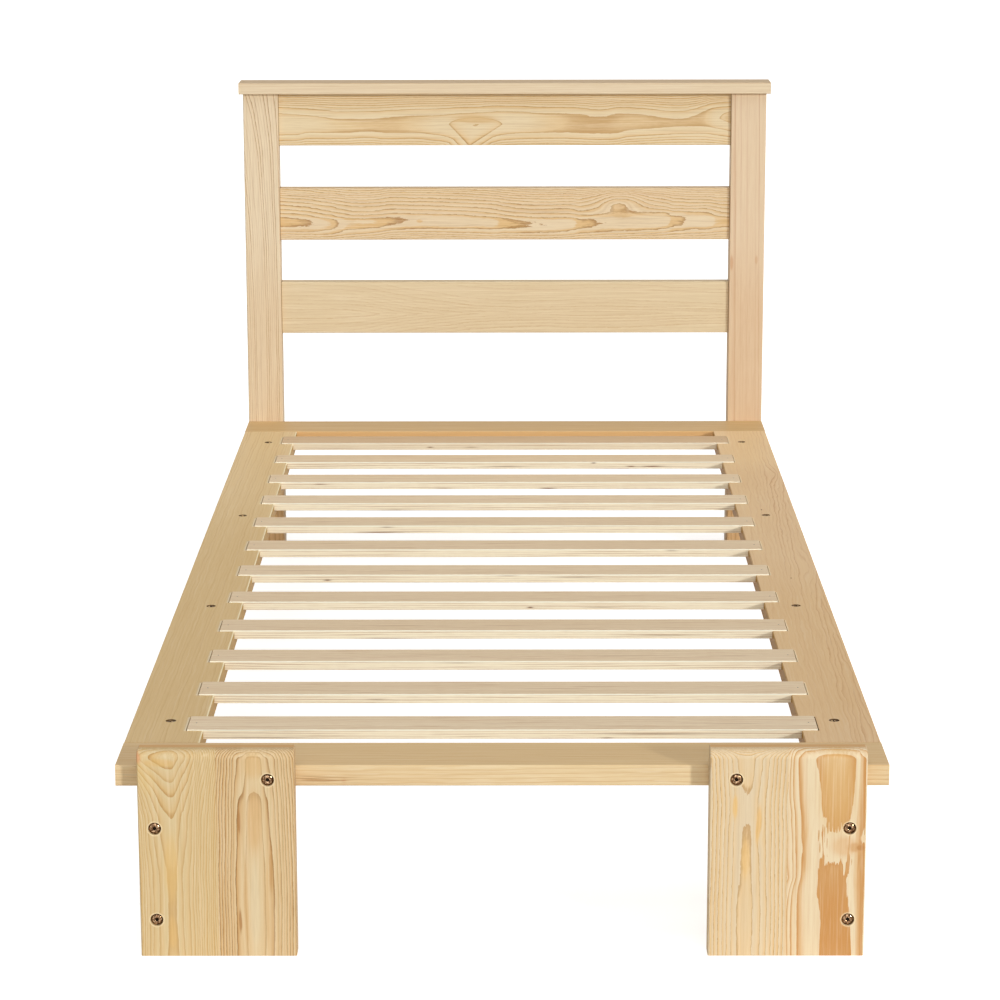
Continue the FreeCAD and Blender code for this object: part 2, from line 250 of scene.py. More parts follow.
class Wood(Surface):
    """Planed pine of one board. Lengths are in millimetres and growth rings are counted.

    A face whose normal lies along the board by more than cut_from shows its end grain.
    """

    def __init__(self, name, along, across, into, middle, seed, wave=0.8, rag=0.25, cut_share=0.3,
                 cut_from=0.86, cut_colour=(174, 136, 92)):
        super().__init__(name)
        self.seed = seed
        self.cut_share = cut_share
        self.cut_from = cut_from
        self.cut_colour = cut_colour
        self.marks = []
        # Painted shade by the way a face looks, as pairs of mask and colour
        self.faces = []
        self.end_axis = "xyz".index(along[1])
        self.along = self.distance(along, middle)
        self.across = self.distance(across, middle)
        self.into = self.distance(into, middle)
        self.line = self.across + self.grain(70.0, 16.0) * wave + self.grain(9.0, 2.2, detail=3.0) * rag

    def distance(self, direction, middle):
        """Millimetres from the board's middle in a direction such as +x."""
        axis = "xyz".index(direction[1])
        sign = 1.0 if direction[0] == "+" else -1.0
        return self.place[axis] * (sign / MM) - sign * middle[axis]

    def grain(self, length, width, detail=2.0):
        """Noise drawn out along the board."""
        return self.noise(
            self.along / length + self.seed, self.across / width, self.into / width, detail=detail)

    def away(self, at_along, at_across):
        """The distance from a spot on the face."""
        return ((self.along - at_along) ** 2.0 + (self.across - at_across) ** 2.0) ** 0.5

    def bolt_rim_highlight(self, at_along, at_across):
        """A painted highlight: a pale ring along the chamfered edge of a bolt's counterbore."""
        ring = (self.away(at_along, at_across) - counterbore_rim_radius) / 0.8
        self.marks.append(((ring ** 2.0).bell() * 0.6, (255, 234, 190)))

    def screw_recess_shade(self, at_across):
        """Painted shade: dark rings in and around the screws' recesses."""
        for y in screw_ys:
            away = self.away(y - deck_middle_y, at_across)
            inside = 1.0 - away.rise(screw_shade_start, screw_shade_end)
            self.marks.append((inside * 0.85, (70, 44, 24)))

    def slat_ends(self, at_across, reach, share, colour, first=0.0, last=slat_count):
        """Thin lines on a side board along the ends of some slats: pale ones are painted light over the shade
        at the slats' ends, dark ones are painted shade in a gap.
        """
        pitches = (self.along + deck_middle_y - slat_first_y) / slat_pitch + 0.5
        beside = (pitches - pitches.whole() - 0.5).size() * slat_pitch
        on_slat = 1.0 - beside.rise(slat_half_width, slat_half_width + 1.0)
        line = (((self.across - at_across) / reach) ** 2.0).bell() * on_slat
        wanted = pitches.rise(first, first + 0.01) * (1.0 - pitches.rise(last, last + 0.01))
        self.marks.append((line * wanted * share, colour))

    def streaks(self, at_along, at_into, reach_along, reach_into, share, colour):
        """Fine dark streaks under one spot of an edge."""
        far = ((self.along - at_along) / reach_along) ** 2.0 + ((self.into - at_into) / reach_into) ** 2.0
        fine = self.noise(self.along / 60.0, self.across / 9.0, self.into / 0.9, detail=1.0)
        self.marks.append((far.bell() * fine.rise(-0.2, 0.5) * share, colour))

    def bright_edge(self, at_across, share, colour):
        """A catch of light along an edge."""
        line = (((self.across - at_across) / 0.9) ** 2.0).bell()
        near_top = 1.0 - self.into.rise(0.3, 2.0)
        self.marks.append((line * near_top * share, colour))

    def painted_side_shade(self, sign, share, colour):
        """Paints shade on the faces that look to one side, as a colour of their own."""
        self.faces.append((lambda normal: (normal[0] * sign).rise(0.5, 0.9) * share, colour))

    def painted_top_shade(self, share, colour):
        """Paints shade on the faces that look up, as a colour of their own."""
        self.faces.append((lambda normal: normal[2].rise(0.5, 0.9) * share, colour))

    def painted_front_shade(self, share, colour):
        """Paints shade on the faces that look forward, as a colour of their own."""
        self.faces.append((lambda normal: (normal[1] * -1.0).rise(0.5, 0.9) * share, colour))

    def curve(self, value):
        """A number as it is, or a curve along the board from its points."""
        return self.along.follow(value) if isinstance(value, tuple) else value

    def bell(self, at_along, at_across, reach_along, reach_across):
        """1 at a spot, fading to 0 around it."""
        far = ((self.along - at_along) / reach_along) ** 2.0 + ((self.line - at_across) / reach_across) ** 2.0
        return far.bell()

    def push(self, millimetres, *spot):
        """Moves the lines sideways around a spot."""
        self.line = self.line - self.bell(*spot) * millimetres

    def centred(self, heart, level, above, below):
        """Rings on both sides of a heart line that lies at a level of its own along the board."""
        off = self.line - self.curve(heart)
        return off.above(0.0).follow(above) + (off * -1.0).above(0.0).follow(below) + self.curve(level)

    def banded(self, upper, lower, level, above, below, top, bottom):
        """Rings around a band with drawn edges. Beyond them the way to top and bottom counts as 1."""
        upper, lower, level = self.curve(upper), self.curve(lower), self.curve(level)
        middle, half = (upper + lower) * 0.5, (upper - lower) * 0.5
        inside = ((self.line - middle).size() / half).below(1.0) ** 3.0 * (1.0 - level) + level
        over = ((self.line - upper) / (self.curve(top) - upper)).above(0.0).follow(above)
        under = ((lower - self.line) / (lower - self.curve(bottom))).above(0.0).follow(below)
        return inside + over + under

    def eye(self, rings, at_along, at_across, reach_along, up, down, slant=0.0):
        """A closed figure of its own in the rings, rounded above and pointed below."""
        rise = self.line - at_across
        drop = (rise * -1.0).above(0.0)
        side = (self.along - at_along + drop * slant) / reach_along
        out = (side ** 2.0 + (rise.above(0.0) / up) ** 2.0) ** 0.5 + drop / down
        return rings.below(out ** 2.2 - 1.0)

    def swell(self, rings, amount, *spot):
        """Raises the ring count around a spot, which turns the pale wood there to late wood."""
        return rings + self.bell(*spot) * amount

    def ragged(self, rings, amount, length=14.0, detail=4.0):
        """Frays the edges of the rings where they lie almost flat in the surface."""
        fray = self.noise(
            self.along / length, self.across / 3.0, self.into / 3.0, detail=detail, roughness=0.65)
        return rings + fray * amount

    def finish_wood(self, rings, pale, dark, edge, depth=12.0, strength=1.0, sharp=1.8, weak=0.55,
                    stress=None, broad=None, line=0.7, line_from=0.70, tone=(218, 184, 138), tone_share=0.16,
                    fibre=0.10, threads=1.0, gloss=0.5, spots=(), post_shadow=0.0):
        """Colours the rings from pale early wood to dark late wood with a darker edge."""
        rings = rings + self.into / depth
        number = rings.whole()
        late = rings - number
        luck = self.luck(number + self.seed)
        power = (luck * (1.0 - weak) + weak) * strength
        if stress:
            power = power * self.across.follow(stress)
        share = late ** sharp
        if broad:
            share = share + (late.rise(0.40, 0.60) * 0.85 - share) * broad
        share = share * power
        colour = self.mix(share, paint(*pale), paint(*dark))
        colour = self.mix(late.rise(line_from, 0.97) * power * line, colour, paint(*edge))

        cloud = self.grain(420.0, 50.0)
        colour = self.mix((cloud * 0.5 + 0.5) * tone_share, colour, paint(*tone))
        for at_along, at_across, reach_along, reach_across, spot_share, spot in spots:
            place = self.bell(at_along, at_across, reach_along, reach_across)
            colour = self.mix(place.rise(0.15, 0.75) * spot_share, colour, paint(*spot))

        strand = self.grain(26.0, 1.1) * 0.55 + self.grain(90.0, 2.6) * 0.45
        colour = self.mix(strand.above(0.0) * fibre * 1.5, colour, paint(*edge))
        colour = self.mix((strand * -1.0).above(0.0) * fibre * 1.2, colour, paint(*pale_fibre))
        thread = self.noise(
            self.along / 150.0 + self.seed * 3.0, self.line / 2.6, self.into / 2.6, detail=1.0)
        contrast = fibre * threads
        colour = self.mix(thread.rise(0.1, 0.8) * contrast, colour, paint(*edge))
        colour = self.mix((thread * -1.0).rise(0.1, 0.8) * contrast * 1.3, colour, paint(*pale_fibre))

        if post_shadow:
            beside_post = self.along.size().rise(post_inner_x - 1.4, post_inner_x - 0.6)
            colour = self.mix(beside_post * post_shadow, colour, paint(112, 78, 44))
        normal = self.normal()
        # Painted shade on the faces by the way they look
        for face_shade, other in self.faces:
            colour = self.mix(face_shade(normal), colour, paint(*other))
        cut_full = self.cut_from * 0.2 + 0.8
        end = normal[self.end_axis].size().rise(self.cut_from, cut_full)
        colour = self.mix(end * self.cut_share, colour, paint(*self.cut_colour))
        for mark, other in self.marks:
            colour = self.mix(mark, colour, paint(*other))

        self.shader.inputs["Specular IOR Level"].default_value = wood_specular
        roughness = strand * 0.04 + end * 0.3 + gloss
        return self.finish(colour, roughness, strand * 0.4 - share, 0.2, 0.15 * MM)


def top_rail_wood():
    wood = Wood("top_rail_pine", "+x", "+z", "+y", (0, rail_face_y, 754), 3.1, wave=0.5, rag=0.3)
    rings = wood.banded(
        upper=(
            (-392, 11), (-350, 8.5), (-310, 4), (-275, 1), (-240, 1), (-200, 3.5), (-160, 6), (-120, 7),
            (-80, 10), (-40, 12), (0, 13.5), (30, 13), (60, 10.5), (100, 10), (140, 7.5), (162, 4.5),
            (200, 9.5), (222, 9), (250, 6), (280, 1.5), (300, 0.5), (320, 4), (345, 14), (365, 20.5),
            (392, 23)),
        lower=(
            (-392, -27), (-360, -26.5), (-335, -23), (-280, -23), (-235, -21), (-200, -23.5), (-160, -23),
            (-130, -25.5), (-105, -29), (-88, -35), (-74, -43), (-62, -50), (-50, -45), (-35, -37),
            (-18, -30), (5, -25.5), (40, -23.5), (100, -23), (170, -25.5), (190, -24.5), (212, -19.5),
            (260, -15.5), (300, -13), (330, -12.5), (365, -16), (392, -21)),
        level=(
            (-392, 0.2), (-350, 0.3), (-310, 0.5), (-270, 0.78), (-200, 0.84), (-160, 0.7), (-130, 0.4),
            (-100, 0.12), (0, 0.08), (30, 0.2), (60, 0.5), (90, 0.75), (160, 0.92), (220, 0.82), (280, 0.87),
            (335, 0.87), (348, 0.75), (360, 0.35), (372, 0.1), (392, 0.05)),
        above=((0, 0), (0.27, 1), (0.39, 2), (0.48, 3), (0.56, 4), (0.64, 5), (0.72, 6), (0.8, 7), (1, 9.5)),
        below=((0, 0), (0.205, 1), (0.295, 2), (0.37, 3), (0.44, 4), (0.51, 5), (0.8, 9.5)),
        top=50.0, bottom=-75.0)
    rings = wood.ragged(wood.eye(rings, -50, -9, 46, 12, 37, slant=0.3), 0.03)
    rings = wood.eye(rings, 400, 1, 30, 13, 13)
    return wood.finish_wood(
        rings, (235, 217, 181), (225, 184, 119), (174, 127, 70), strength=0.95, fibre=0.14, line=0.8,
        line_from=0.78,
        stress=((-45, 1.4), (-28, 1.0), (-20, 0.75), (12, 0.75), (20, 1.2), (45, 1.4)),
        spots=((-50, 0, 42, 8, 0.6, (216, 178, 120)), (388, 2, 10, 9, 0.5, (216, 178, 120))),
        post_shadow=0.75)


def middle_rail_wood():
    wood = Wood("middle_rail_pine", "+x", "+z", "+y", (0, rail_face_y, 590), 11.7, wave=0.9, rag=0.5)
    wood.push(26, 198, 22, 40, 20)
    wood.push(3, 350, 8, 30, 10)
    rings = wood.centred(
        heart=(
            (-392, -14), (-340, -16), (-290, -18), (-220, -16), (-170, -12), (-100, -13), (0, -17), (60, -19),
            (110, -18), (190, -17), (260, -15), (392, -15)),
        level=(
            (-392, 0.62), (-350, 0.85), (-333, 1.0), (-318, 1.25), (-300, 1.6), (-288, 2.0), (-285, 2.05),
            (-272, 2.45), (-255, 2.6), (-220, 2.72), (-190, 2.88), (-170, 3.0), (-165, 3.03), (-100, 3.12),
            (-65, 3.2), (-20, 3.35), (0, 3.7), (35, 3.92), (50, 4.0), (95, 4.1), (118, 4.3), (130, 4.7),
            (155, 4.88), (164, 5.0), (200, 5.05), (270, 5.15), (283, 5.4), (292, 5.75), (306, 5.9),
            (311, 6.0), (315, 6.1), (355, 6.2), (366, 6.5), (392, 6.7)),
        above=(
            (0, 0), (5, 0.05), (8.5, 0.25), (12, 0.8), (16, 1.3), (20, 1.9), (25, 2.6), (32, 3.5), (38, 4.5),
            (44, 5.5), (48, 6.5), (52, 7.6), (56, 8.7), (66, 11)),
        below=(
            (0, 0), (4, 0.08), (8, 0.3), (11, 0.7), (15.5, 1.15), (20, 2.1), (24, 3.1), (27, 4), (31, 5.2),
            (40, 7)))
    rings = wood.swell(rings, -0.75, 300, 2, 60, 9)
    rings = wood.swell(rings, 0.6, 203, -4, 24, 8)
    rings = wood.swell(rings, 0.6, -148, -12, 9, 4)
    rings = wood.swell(rings, -0.35, -240, -12, 26, 5)
    rings = wood.ragged(rings, 0.12)
    return wood.finish_wood(
        rings, (233, 213, 179), (223, 181, 113), (158, 110, 56), sharp=1.6, weak=0.7, line=0.85,
        line_from=0.76, broad=(((wood.across + 16.0) / 14.0) ** 2.0).bell(), tone=(226, 196, 162),
        tone_share=0.3, fibre=0.14, post_shadow=0.75)


def lower_rail_wood():
    wood = Wood("lower_rail_pine", "+x", "+z", "+y", (0, rail_face_y, 426), 23.4, wave=1.0, rag=0.5)
    rings = wood.centred(
        heart=-11.0,
        level=(
            (-392, 0.2), (-290, 0.5), (-250, 1.0), (-215, 2.0), (-180, 3.1), (-140, 4.1), (-95, 5.0),
            (-45, 6.0), (60, 6.6), (160, 6.2), (300, 7.0), (392, 7.6)),
        above=((0, 0), (4, 0.7), (16, 3.2), (30, 5.4), (60, 10)),
        below=((0, 0), (4, 0.7), (14, 2.8), (36, 6.5)))
    rings = wood.ragged(rings, 0.15)
    return wood.finish_wood(
        rings, (228, 208, 172), (214, 184, 140), (196, 160, 114), strength=0.6, weak=0.1, fibre=0.15,
        tone=(224, 202, 164), stress=((-45, 0.6), (-20, 1.0), (0, 0.9), (20, 0.6), (45, 0.4)),
        post_shadow=0.7)


def cap_wood():
    wood = Wood("cap_pine", "+x", "+y", "-z", (0, 1006.5, cap_top), 31.9, wave=1.0, rag=0.1)
    rings = wood.line / 30.0 + wood.into / 4.2 + wood.along / 900.0
    # Painted shade on the cap's top
    wood.painted_top_shade(0.7, (196, 166, 128))
    return wood.finish_wood(
        rings, (232, 214, 184), (218, 188, 148), (202, 166, 122), depth=1000.0, strength=0.5, weak=0.1,
        fibre=0.14)


def left_post_wood():
    wood = Wood("left_post_pine", "+z", "+x", "+y", (-420, post_face_y, 400), 42.3, wave=0.9, rag=0.2)
    drift = wood.along.follow((
        (-400, 1), (-175, 1), (60, 0), (150, -3), (220, -7), (300, -13), (350, -18), (400, -26)))
    rings = (wood.line - drift * (0.7 - wood.across / 60.0)) / 3.5
    return wood.finish_wood(
        rings, (236, 218, 188), (212, 176, 132), (158, 112, 68), strength=0.95, weak=0.1, sharp=2.6, line=0.9,
        tone=(226, 200, 162), tone_share=0.25, fibre=0.14,
        spots=((-60, 0, 170, 90, 0.3, (216, 184, 142)),))


def right_post_wood():
    wood = Wood("right_post_pine", "+z", "+x", "+y", (420, post_face_y, 400), 57.6, wave=0.3, rag=0.08)
    drift = wood.along / -87.0
    rings = (wood.line - drift).follow((
        (-34, 0.4), (-17.8, 1.0), (-8, 2.0), (3, 3.0), (17.5, 4.0), (23, 5.0), (34, 6.0)))
    return wood.finish_wood(
        rings, (231, 208, 176), (222, 188, 152), (190, 142, 108), strength=0.8, weak=0.05, sharp=6.0,
        tone=(224, 190, 156), tone_share=0.4, fibre=0.13, threads=0.4,
        stress=((-30, 0.3), (-20, 1.0), (-16, 1.0), (-10, 0.4), (12, 0.4), (17, 1.1), (30, 0.4)),
        spots=(
            (-60, 0, 170, 90, 0.3, (212, 172, 128)), (105, -26, 14, 3, 0.5, (200, 140, 96)),
            (110, 17, 8, 3, 0.4, (206, 156, 112))))


def deck_front_wood():
    wood = Wood("deck_front_pine", "+x", "+y", "-z", (0, -967.5, platform_top), 61.2, wave=2.2, rag=0.1)
    rings = wood.line / 9.0 + wood.into / 5.5 + wood.along / 700.0
    # Painted shade on the board's top
    wood.painted_top_shade(0.4, (228, 188, 130))
    wood.streaks(-215, 17, 48, 5, 0.95, (164, 108, 52))
    wood.streaks(-184, 19, 3, 4, 0.8, (190, 116, 70))
    wood.streaks(-440, 14, 30, 4, 0.4, (120, 84, 50))
    return wood.finish_wood(
        rings, (236, 212, 168), (222, 184, 132), (198, 154, 104), depth=1000.0, strength=0.6, weak=0.05,
        sharp=2.2, gloss=0.45, fibre=0.16, tone=(214, 178, 128), tone_share=0.35,
        spots=(
            # A painted shadow of the left leg darkens the board's left end
            (-420, 0, 90, 60, 0.1, (208, 174, 132)),
            (400, 0, 70, 60, 0.2, (206, 168, 120))))


def deck_rear_wood():
    wood = Wood("deck_rear_pine", "+x", "+y", "-z", (0, 942.5, platform_top), 73.5, wave=2.0, rag=0.1)
    rings = wood.line / 12.0 + wood.into / 8.0
    # Painted shade on the board's front face
    wood.painted_front_shade(0.8, (228, 180, 122))
    return wood.finish_wood(
        rings, (217, 183, 130), (206, 166, 112), (190, 148, 94), depth=1000.0, strength=0.5, weak=0.1,
        gloss=0.45)


def left_side_wood():
    wood = Wood(
        "left_side_pine", "+y", "+x", "-z", (-405, deck_middle_y, platform_top), 81.8, wave=1.6,
        rag=0.1)
    # Painted shade around the screws' recesses
    wood.screw_recess_shade(2.0)
    # Painted light along the slats' ends, over their shade
    wood.slat_ends(23.6, 1.7, 0.95, (255, 238, 204))
    wood.bright_edge(44.4, 0.9, (255, 246, 212))
    # Painted shade on the board's inner face
    wood.painted_side_shade(1.0, 1.0, (188, 148, 78))
    rings = (wood.line - wood.along * 0.012) / 4.4
    return wood.finish_wood(
        rings, (237, 208, 158), (218, 180, 128), (198, 156, 104), strength=0.6, weak=0.05, sharp=2.2,
        gloss=0.45, fibre=0.08, tone=(224, 192, 138), tone_share=0.35,
        spots=((-350, 0, 700, 200, 0.4, (210, 174, 112)),))


def right_side_wood():
    wood = Wood(
        "right_side_pine", "+y", "+x", "-z", (405, deck_middle_y, platform_top), 94.4, wave=3.0,
        rag=0.25)
    # Painted shade around the screws' recesses
    wood.screw_recess_shade(-2.0)
    # Painted light along the ends of slats 2 to 12, and painted shade in the gap at slat 1's end
    wood.slat_ends(-24.2, 1.3, 0.95, (255, 238, 204), first=1.0)
    wood.slat_ends(-24.9, 1.1, 0.9, (64, 40, 24), last=1.0)
    # Painted shade on the board's inner face
    wood.painted_side_shade(-1.0, 1.0, (174, 124, 36))
    wood.push(10, 560, 34, 60, 12)
    wood.push(12, -60, 36, 90, 10)
    rings = wood.centred(
        heart=((-910, 34), (-300, 36), (100, 38), (500, 42), (910, 40)),
        level=((-910, 0.2), (-500, 1.6), (-100, 3.6), (200, 4.9), (520, 6.7), (910, 8.4)),
        above=((0, 0), (4, 0.7), (12, 2.4)), below=((0, 0), (6, 0.8), (14, 2.2), (30, 5), (60, 10), (90, 13)))
    return wood.finish_wood(
        rings, (239, 206, 160), (222, 174, 126), (192, 138, 96), strength=0.85, weak=0.2, sharp=3.0,
        gloss=0.45, fibre=0.08, stress=((-46, 0.15), (-10, 0.3), (8, 0.55), (22, 1.0), (46, 1.0)),
        tone=(226, 186, 140), tone_share=0.35,
        spots=(
            (310, -7, 5, 1.6, 0.8, (150, 96, 60)), (-120, 6, 5, 1.4, 0.7, (160, 104, 66)),
            # The last spot lightens the board's far end as a painted reflection
            (-500, 0, 400, 200, 0.3, (222, 180, 118)), (800, 0, 200, 200, 0.5, (248, 216, 166))))


def stave(name, middle_x, seed, wave, rag, bolts):
    """The wood of one half of a front leg, with painted highlights on its bolts' rims, before its rings are
    drawn.
    """
    wood = Wood(
        name, "+z", "+x", "+y", (middle_x, leg_face_y, leg_middle_z), seed, wave=wave, rag=rag,
        cut_from=0.99, cut_colour=leg_end_grain)
    wood.cut_share = wood.into.rise(13.0, 18.0) * 0.9
    # Painted highlights on the bolts' counterbore rims
    for at_along, at_across in bolts:
        wood.bolt_rim_highlight(at_along, at_across)
    return wood


def left_outer_stave_wood():
    wood = stave("left_outer_stave_pine", -376.5, 103.3, 1.4, 0.25, bolts=((31, -26.5), (-80.5, -26.5)))
    wood.push(-15, 122, -46, 36, 26)
    rings = wood.centred(
        heart=-6.5,
        level=(
            (-127, 0.72), (-110, 0.8), (-25, 0.82), (-8, 0.6), (12, 0.3), (30, 0.08), (43, 0.0), (56, -0.5),
            (69, -1), (87, -2), (103, -3), (115, -3.9), (127, -4.8)),
        above=(
            (0, 0), (2.5, 0.06), (5, 0.28), (12, 1.2), (20, 2.2), (24.5, 3.2), (27.9, 4.2), (30.3, 5.2),
            (32.9, 6.2), (35.9, 7.2), (39.5, 8.2), (42, 9.2), (52, 13)),
        below=(
            (0, 0), (4, 0.06), (8, 0.3), (16.8, 1.2), (23.8, 2.2), (28.3, 3.2), (31.6, 4.2), (34, 5.2),
            (44, 8)))
    rings = wood.ragged(rings, 0.03)
    return wood.finish_wood(
        rings, (221, 200, 156), (214, 172, 106), (180, 134, 76), depth=4.0, sharp=1.2, line=0.75,
        stress=((-46, 1.1), (-20, 1.0), (0, 0.85), (10, 1.0), (30, 1.0), (46, 1.3)),
        spots=(
            (-18, -8, 46, 9, 0.5, (228, 190, 122)), (-95, -8, 22, 5, 0.5, (228, 188, 120)),
            (117, -31, 7, 4, 0.95, (218, 150, 108)), (97, -31, 24, 10, 0.35, (230, 200, 138)),
            (111, -14, 5, 12, 0.5, (226, 186, 118))))


def left_inner_stave_wood():
    wood = stave("left_inner_stave_pine", -285.5, 111.1, 0.9, 0.3, bolts=((90, 14.5),))
    rings = wood.centred(
        heart=-1.5,
        level=(
            (-127, -0.8), (-70, -0.88), (-15, -0.8), (0, -0.7), (20, -0.55), (60, -0.3), (73, -0.05),
            (85, 0.12), (100, 0.5), (127, 0.78)),
        above=(
            (0, 0), (7, 0.12), (10.5, 0.7), (12, 0.9), (16.1, 1.25), (24.3, 2.25), (28.1, 3.25), (32.1, 4.25),
            (34.7, 5.25), (38.1, 6.25), (41.7, 7.25), (48, 9)),
        below=(
            (0, 0), (7, 0.12), (10.5, 0.7), (12, 0.9), (18.7, 1.25), (24.3, 2.25), (26.9, 3.25), (30.3, 4.25),
            (33.7, 5.25), (37.3, 6.25), (40.7, 7.25), (46, 8.8)))
    rings = wood.ragged(rings, 0.01)
    return wood.finish_wood(
        rings, (225, 202, 160), (208, 162, 102), (150, 104, 56), depth=3.4, sharp=1.3, line=0.85,
        stress=((-46, 1.8), (-20, 1.4), (-12, 0.75), (10, 0.75), (16, 1.0), (30, 1.0), (46, 1.8)),
        spots=(
            (108, -2, 17, 12, 0.6, (222, 186, 132)), (40, -2, 42, 9, 0.65, (218, 178, 124)),
            (-66, -2, 64, 5.5, 0.85, (226, 206, 168)), (-60, -13, 60, 2.5, 0.55, (214, 172, 116)),
            (-60, 12, 60, 2.5, 0.45, (218, 178, 122)), (40, -19, 16, 1.8, 0.8, (176, 124, 72)),
            (-82, -20, 15, 1.8, 0.8, (176, 124, 72)), (-18, 16.5, 32, 2, 0.6, (196, 146, 88))))


def right_inner_stave_wood():
    wood = stave("right_inner_stave_pine", 285.5, 127.2, 0.5, 0.45, bolts=((90, -14.5),))
    wood.push(-2.5, 18, 13, 14, 6)
    rings = wood.centred(
        heart=-2.2,
        level=(
            (-127, -0.3), (-75, -0.38), (-45, -0.25), (-20, -0.16), (25, -0.08), (38, 0.0), (48, 0.1),
            (60, 0.12), (72, 0.0), (80, -0.1), (95, -0.3), (110, -0.45), (127, -0.55)),
        above=(
            (0, 0), (5, 0.08), (8.8, 0.45), (14.8, 1.08), (22.8, 2.08), (28.8, 3.08), (33.4, 4.08),
            (38, 5.08), (42.6, 6.08), (48, 7.3)),
        below=(
            (0, 0), (5, 0.1), (11.8, 0.5), (15.2, 1.08), (20.5, 2), (25.5, 3), (30.4, 4), (35, 5), (39.5, 6),
            (46, 7.4)))
    rings = wood.ragged(rings, 0.05)
    return wood.finish_wood(
        rings, (230, 211, 178), (234, 194, 130), (178, 130, 76), depth=-2.2, sharp=1.4, line=0.95,
        line_from=0.86,
        spots=(
            (57, -16, 15, 3, 0.8, (238, 196, 126)), (35, 12.5, 26, 3.5, 0.8, (236, 192, 124)),
            (-5, -3, 26, 5, 0.5, (240, 196, 122))))


def right_outer_stave_wood():
    wood = stave("right_outer_stave_pine", 376.5, 139.9, 0.5, 0.2, bolts=((31, 26.5), (-80.5, 26.5)))
    rings = wood.banded(
        upper=((-127, 31.5), (-75, 28), (-45, 25), (-25, 23.5), (0, 25), (50, 28), (80, 31), (127, 32.5)),
        lower=(
            (-127, -6), (-75, -6.5), (-55, -9), (-40, -10.5), (-25, -8), (-12, -4.5), (10, -2), (30, -2),
            (50, -5.5), (80, -8.5), (97, -10.5), (108, -13), (127, -16)),
        level=(
            (-127, 0.88), (-80, 0.95), (-45, 0.93), (-22, 0.9), (-12, 0.99), (-4, 1.1), (20, 1.12),
            (27, 1.04), (34, 0.96), (60, 0.86), (100, 0.76), (127, 0.62)),
        above=((0, 0), (0.32, 0.1), (0.42, 0.55), (0.7, 0.85), (1, 1), (2, 2)),
        below=(
            (0, 0), (0.55, 0.2), (0.72, 0.5), (0.86, 0.8), (1, 1), (1.28, 2), (1.45, 3), (1.7, 4)),
        top=44.0,
        bottom=(
            (-127, -32.5), (-60, -33.5), (-25, -29.5), (0, -28.5), (35, -29.5), (75, -33), (127, -34.5)))
    fray = wood.along.follow((
        (-127, 0.01), (-40, 0.015), (-22, 0.1), (0, 0.12), (38, 0.1), (52, 0.015), (127, 0.01)))
    rings = wood.ragged(rings, fray, length=34.0, detail=1.0)
    return wood.finish_wood(
        rings, (239, 220, 184), (219, 168, 104), (202, 142, 80), depth=6.0, weak=0.85, fibre=0.14,
        spots=(
            (9, 21, 13, 17, 0.6, (226, 182, 130)), (8, 33, 6, 10, 0.6, (212, 160, 104)),
            (7.6, 39.5, 3.5, 5, 0.7, (196, 138, 82)), (19, 42, 4.5, 3, 0.9, (240, 214, 172)),
            (-90, 9, 50, 18, 0.35, (206, 146, 82)), (80, 11, 60, 24, 0.45, (226, 184, 118))))


def support_wood(name, along, across, into, middle, seed):
    """Plain stock of the parts under the platform."""
    wood = Wood(name, along, across, into, middle, seed, wave=2.5, rag=0.3)
    rings = (wood.line.size() / 14.0) ** 1.6 + wood.along / 300.0
    return wood.finish_wood(
        rings, (224, 184, 132), (200, 152, 100), (176, 126, 78), strength=0.8, gloss=0.6)


# Small knots and streaks on the slats' front edges: slat, x, depth below its top, reach along it and share
slat_flecks = (
    (1, 186, 5.8, 60, 0.7), (1, -290, 10, 50, 0.4), (1, 126, 10.8, 8, 0.6), (2, -157, 7, 14, 0.4),
    (3, -57, 2.6, 24, 0.4), (4, -161, 11.4, 36, 0.55), (4, 217, 7, 45, 0.5), (5, 37, 8.7, 4, 1.0),
    (5, 134, 8.5, 24, 0.4), (6, -252, 8.2, 5, 1.0), (6, 102, 4, 36, 0.6), (6, 5, 2.0, 14, 0.4),
    (7, 247, 2.4, 8, 0.5), (8, -189, 10.7, 36, 0.85), (8, -178, 2.8, 10, 0.6), (9, -172, 11.2, 28, 0.6),
    (10, 70, 10.7, 12, 1.0), (10, -98, 10.7, 14, 0.5), (10, -297, 3.6, 10, 0.7), (11, 244, 7.8, 18, 1.0),
    (11, 209, 7.8, 7, 1.0), (11, 147, 2.0, 4, 0.9), (11, 0, 7.8, 34, 0.6), (12, -127, 7.4, 5, 1.0),
    (12, -57, 7.4, 10, 0.6))
fleck_height = 0.9
fleck_depth = 12.0


def slat_number(y):
    """Which slat a place belongs to, counted from 0 at the front."""
    return ((y - (slat_first_y - slat_pitch / 2)) / slat_pitch).whole()


def slat_seams_and_painted_light(surface, colour, shift, into, cell, luck, other_luck, forward):
    """Dark seams on the slats' front edges, with painted light that makes the front faces paler and a painted
    highlight along their top line.
    """
    # Painted light: the front faces are painted paler
    colour = surface.mix(forward * 0.9, colour, paint(255, 245, 217))
    drift = surface.noise(shift / 500.0, cell, 3.0)
    seam = into / (luck * 0.8 + 2.6) + drift * 0.9 + other_luck
    number = seam.whole()
    dark_share = surface.noise(shift / 170.0, number * 7.3, cell).rise(-0.5, 0.9) * 0.75 + 0.15
    colour = surface.mix((seam - number) ** 3.0 * forward * dark_share, colour, paint(160, 94, 40))
    # Painted highlight along the top of the front faces
    return surface.mix((1.0 - into.rise(1.2, 2.0)) * forward, colour, paint(255, 252, 232))


def add_flecks(surface, colour, x, y, into):
    """The flecks of the table, each on the front edge of its own slat."""
    for number, at_x, at_depth, reach, share in slat_flecks:
        front = slat_first_y + slat_pitch * (number - 1) - slat_half_width
        along, below = (x - at_x) / reach, (into - at_depth) / fleck_height
        far = along ** 2.0 + below ** 2.0 + ((y - front) / fleck_depth) ** 2.0
        colour = surface.mix(far.bell() * share, colour, paint(112, 54, 12))
    return colour


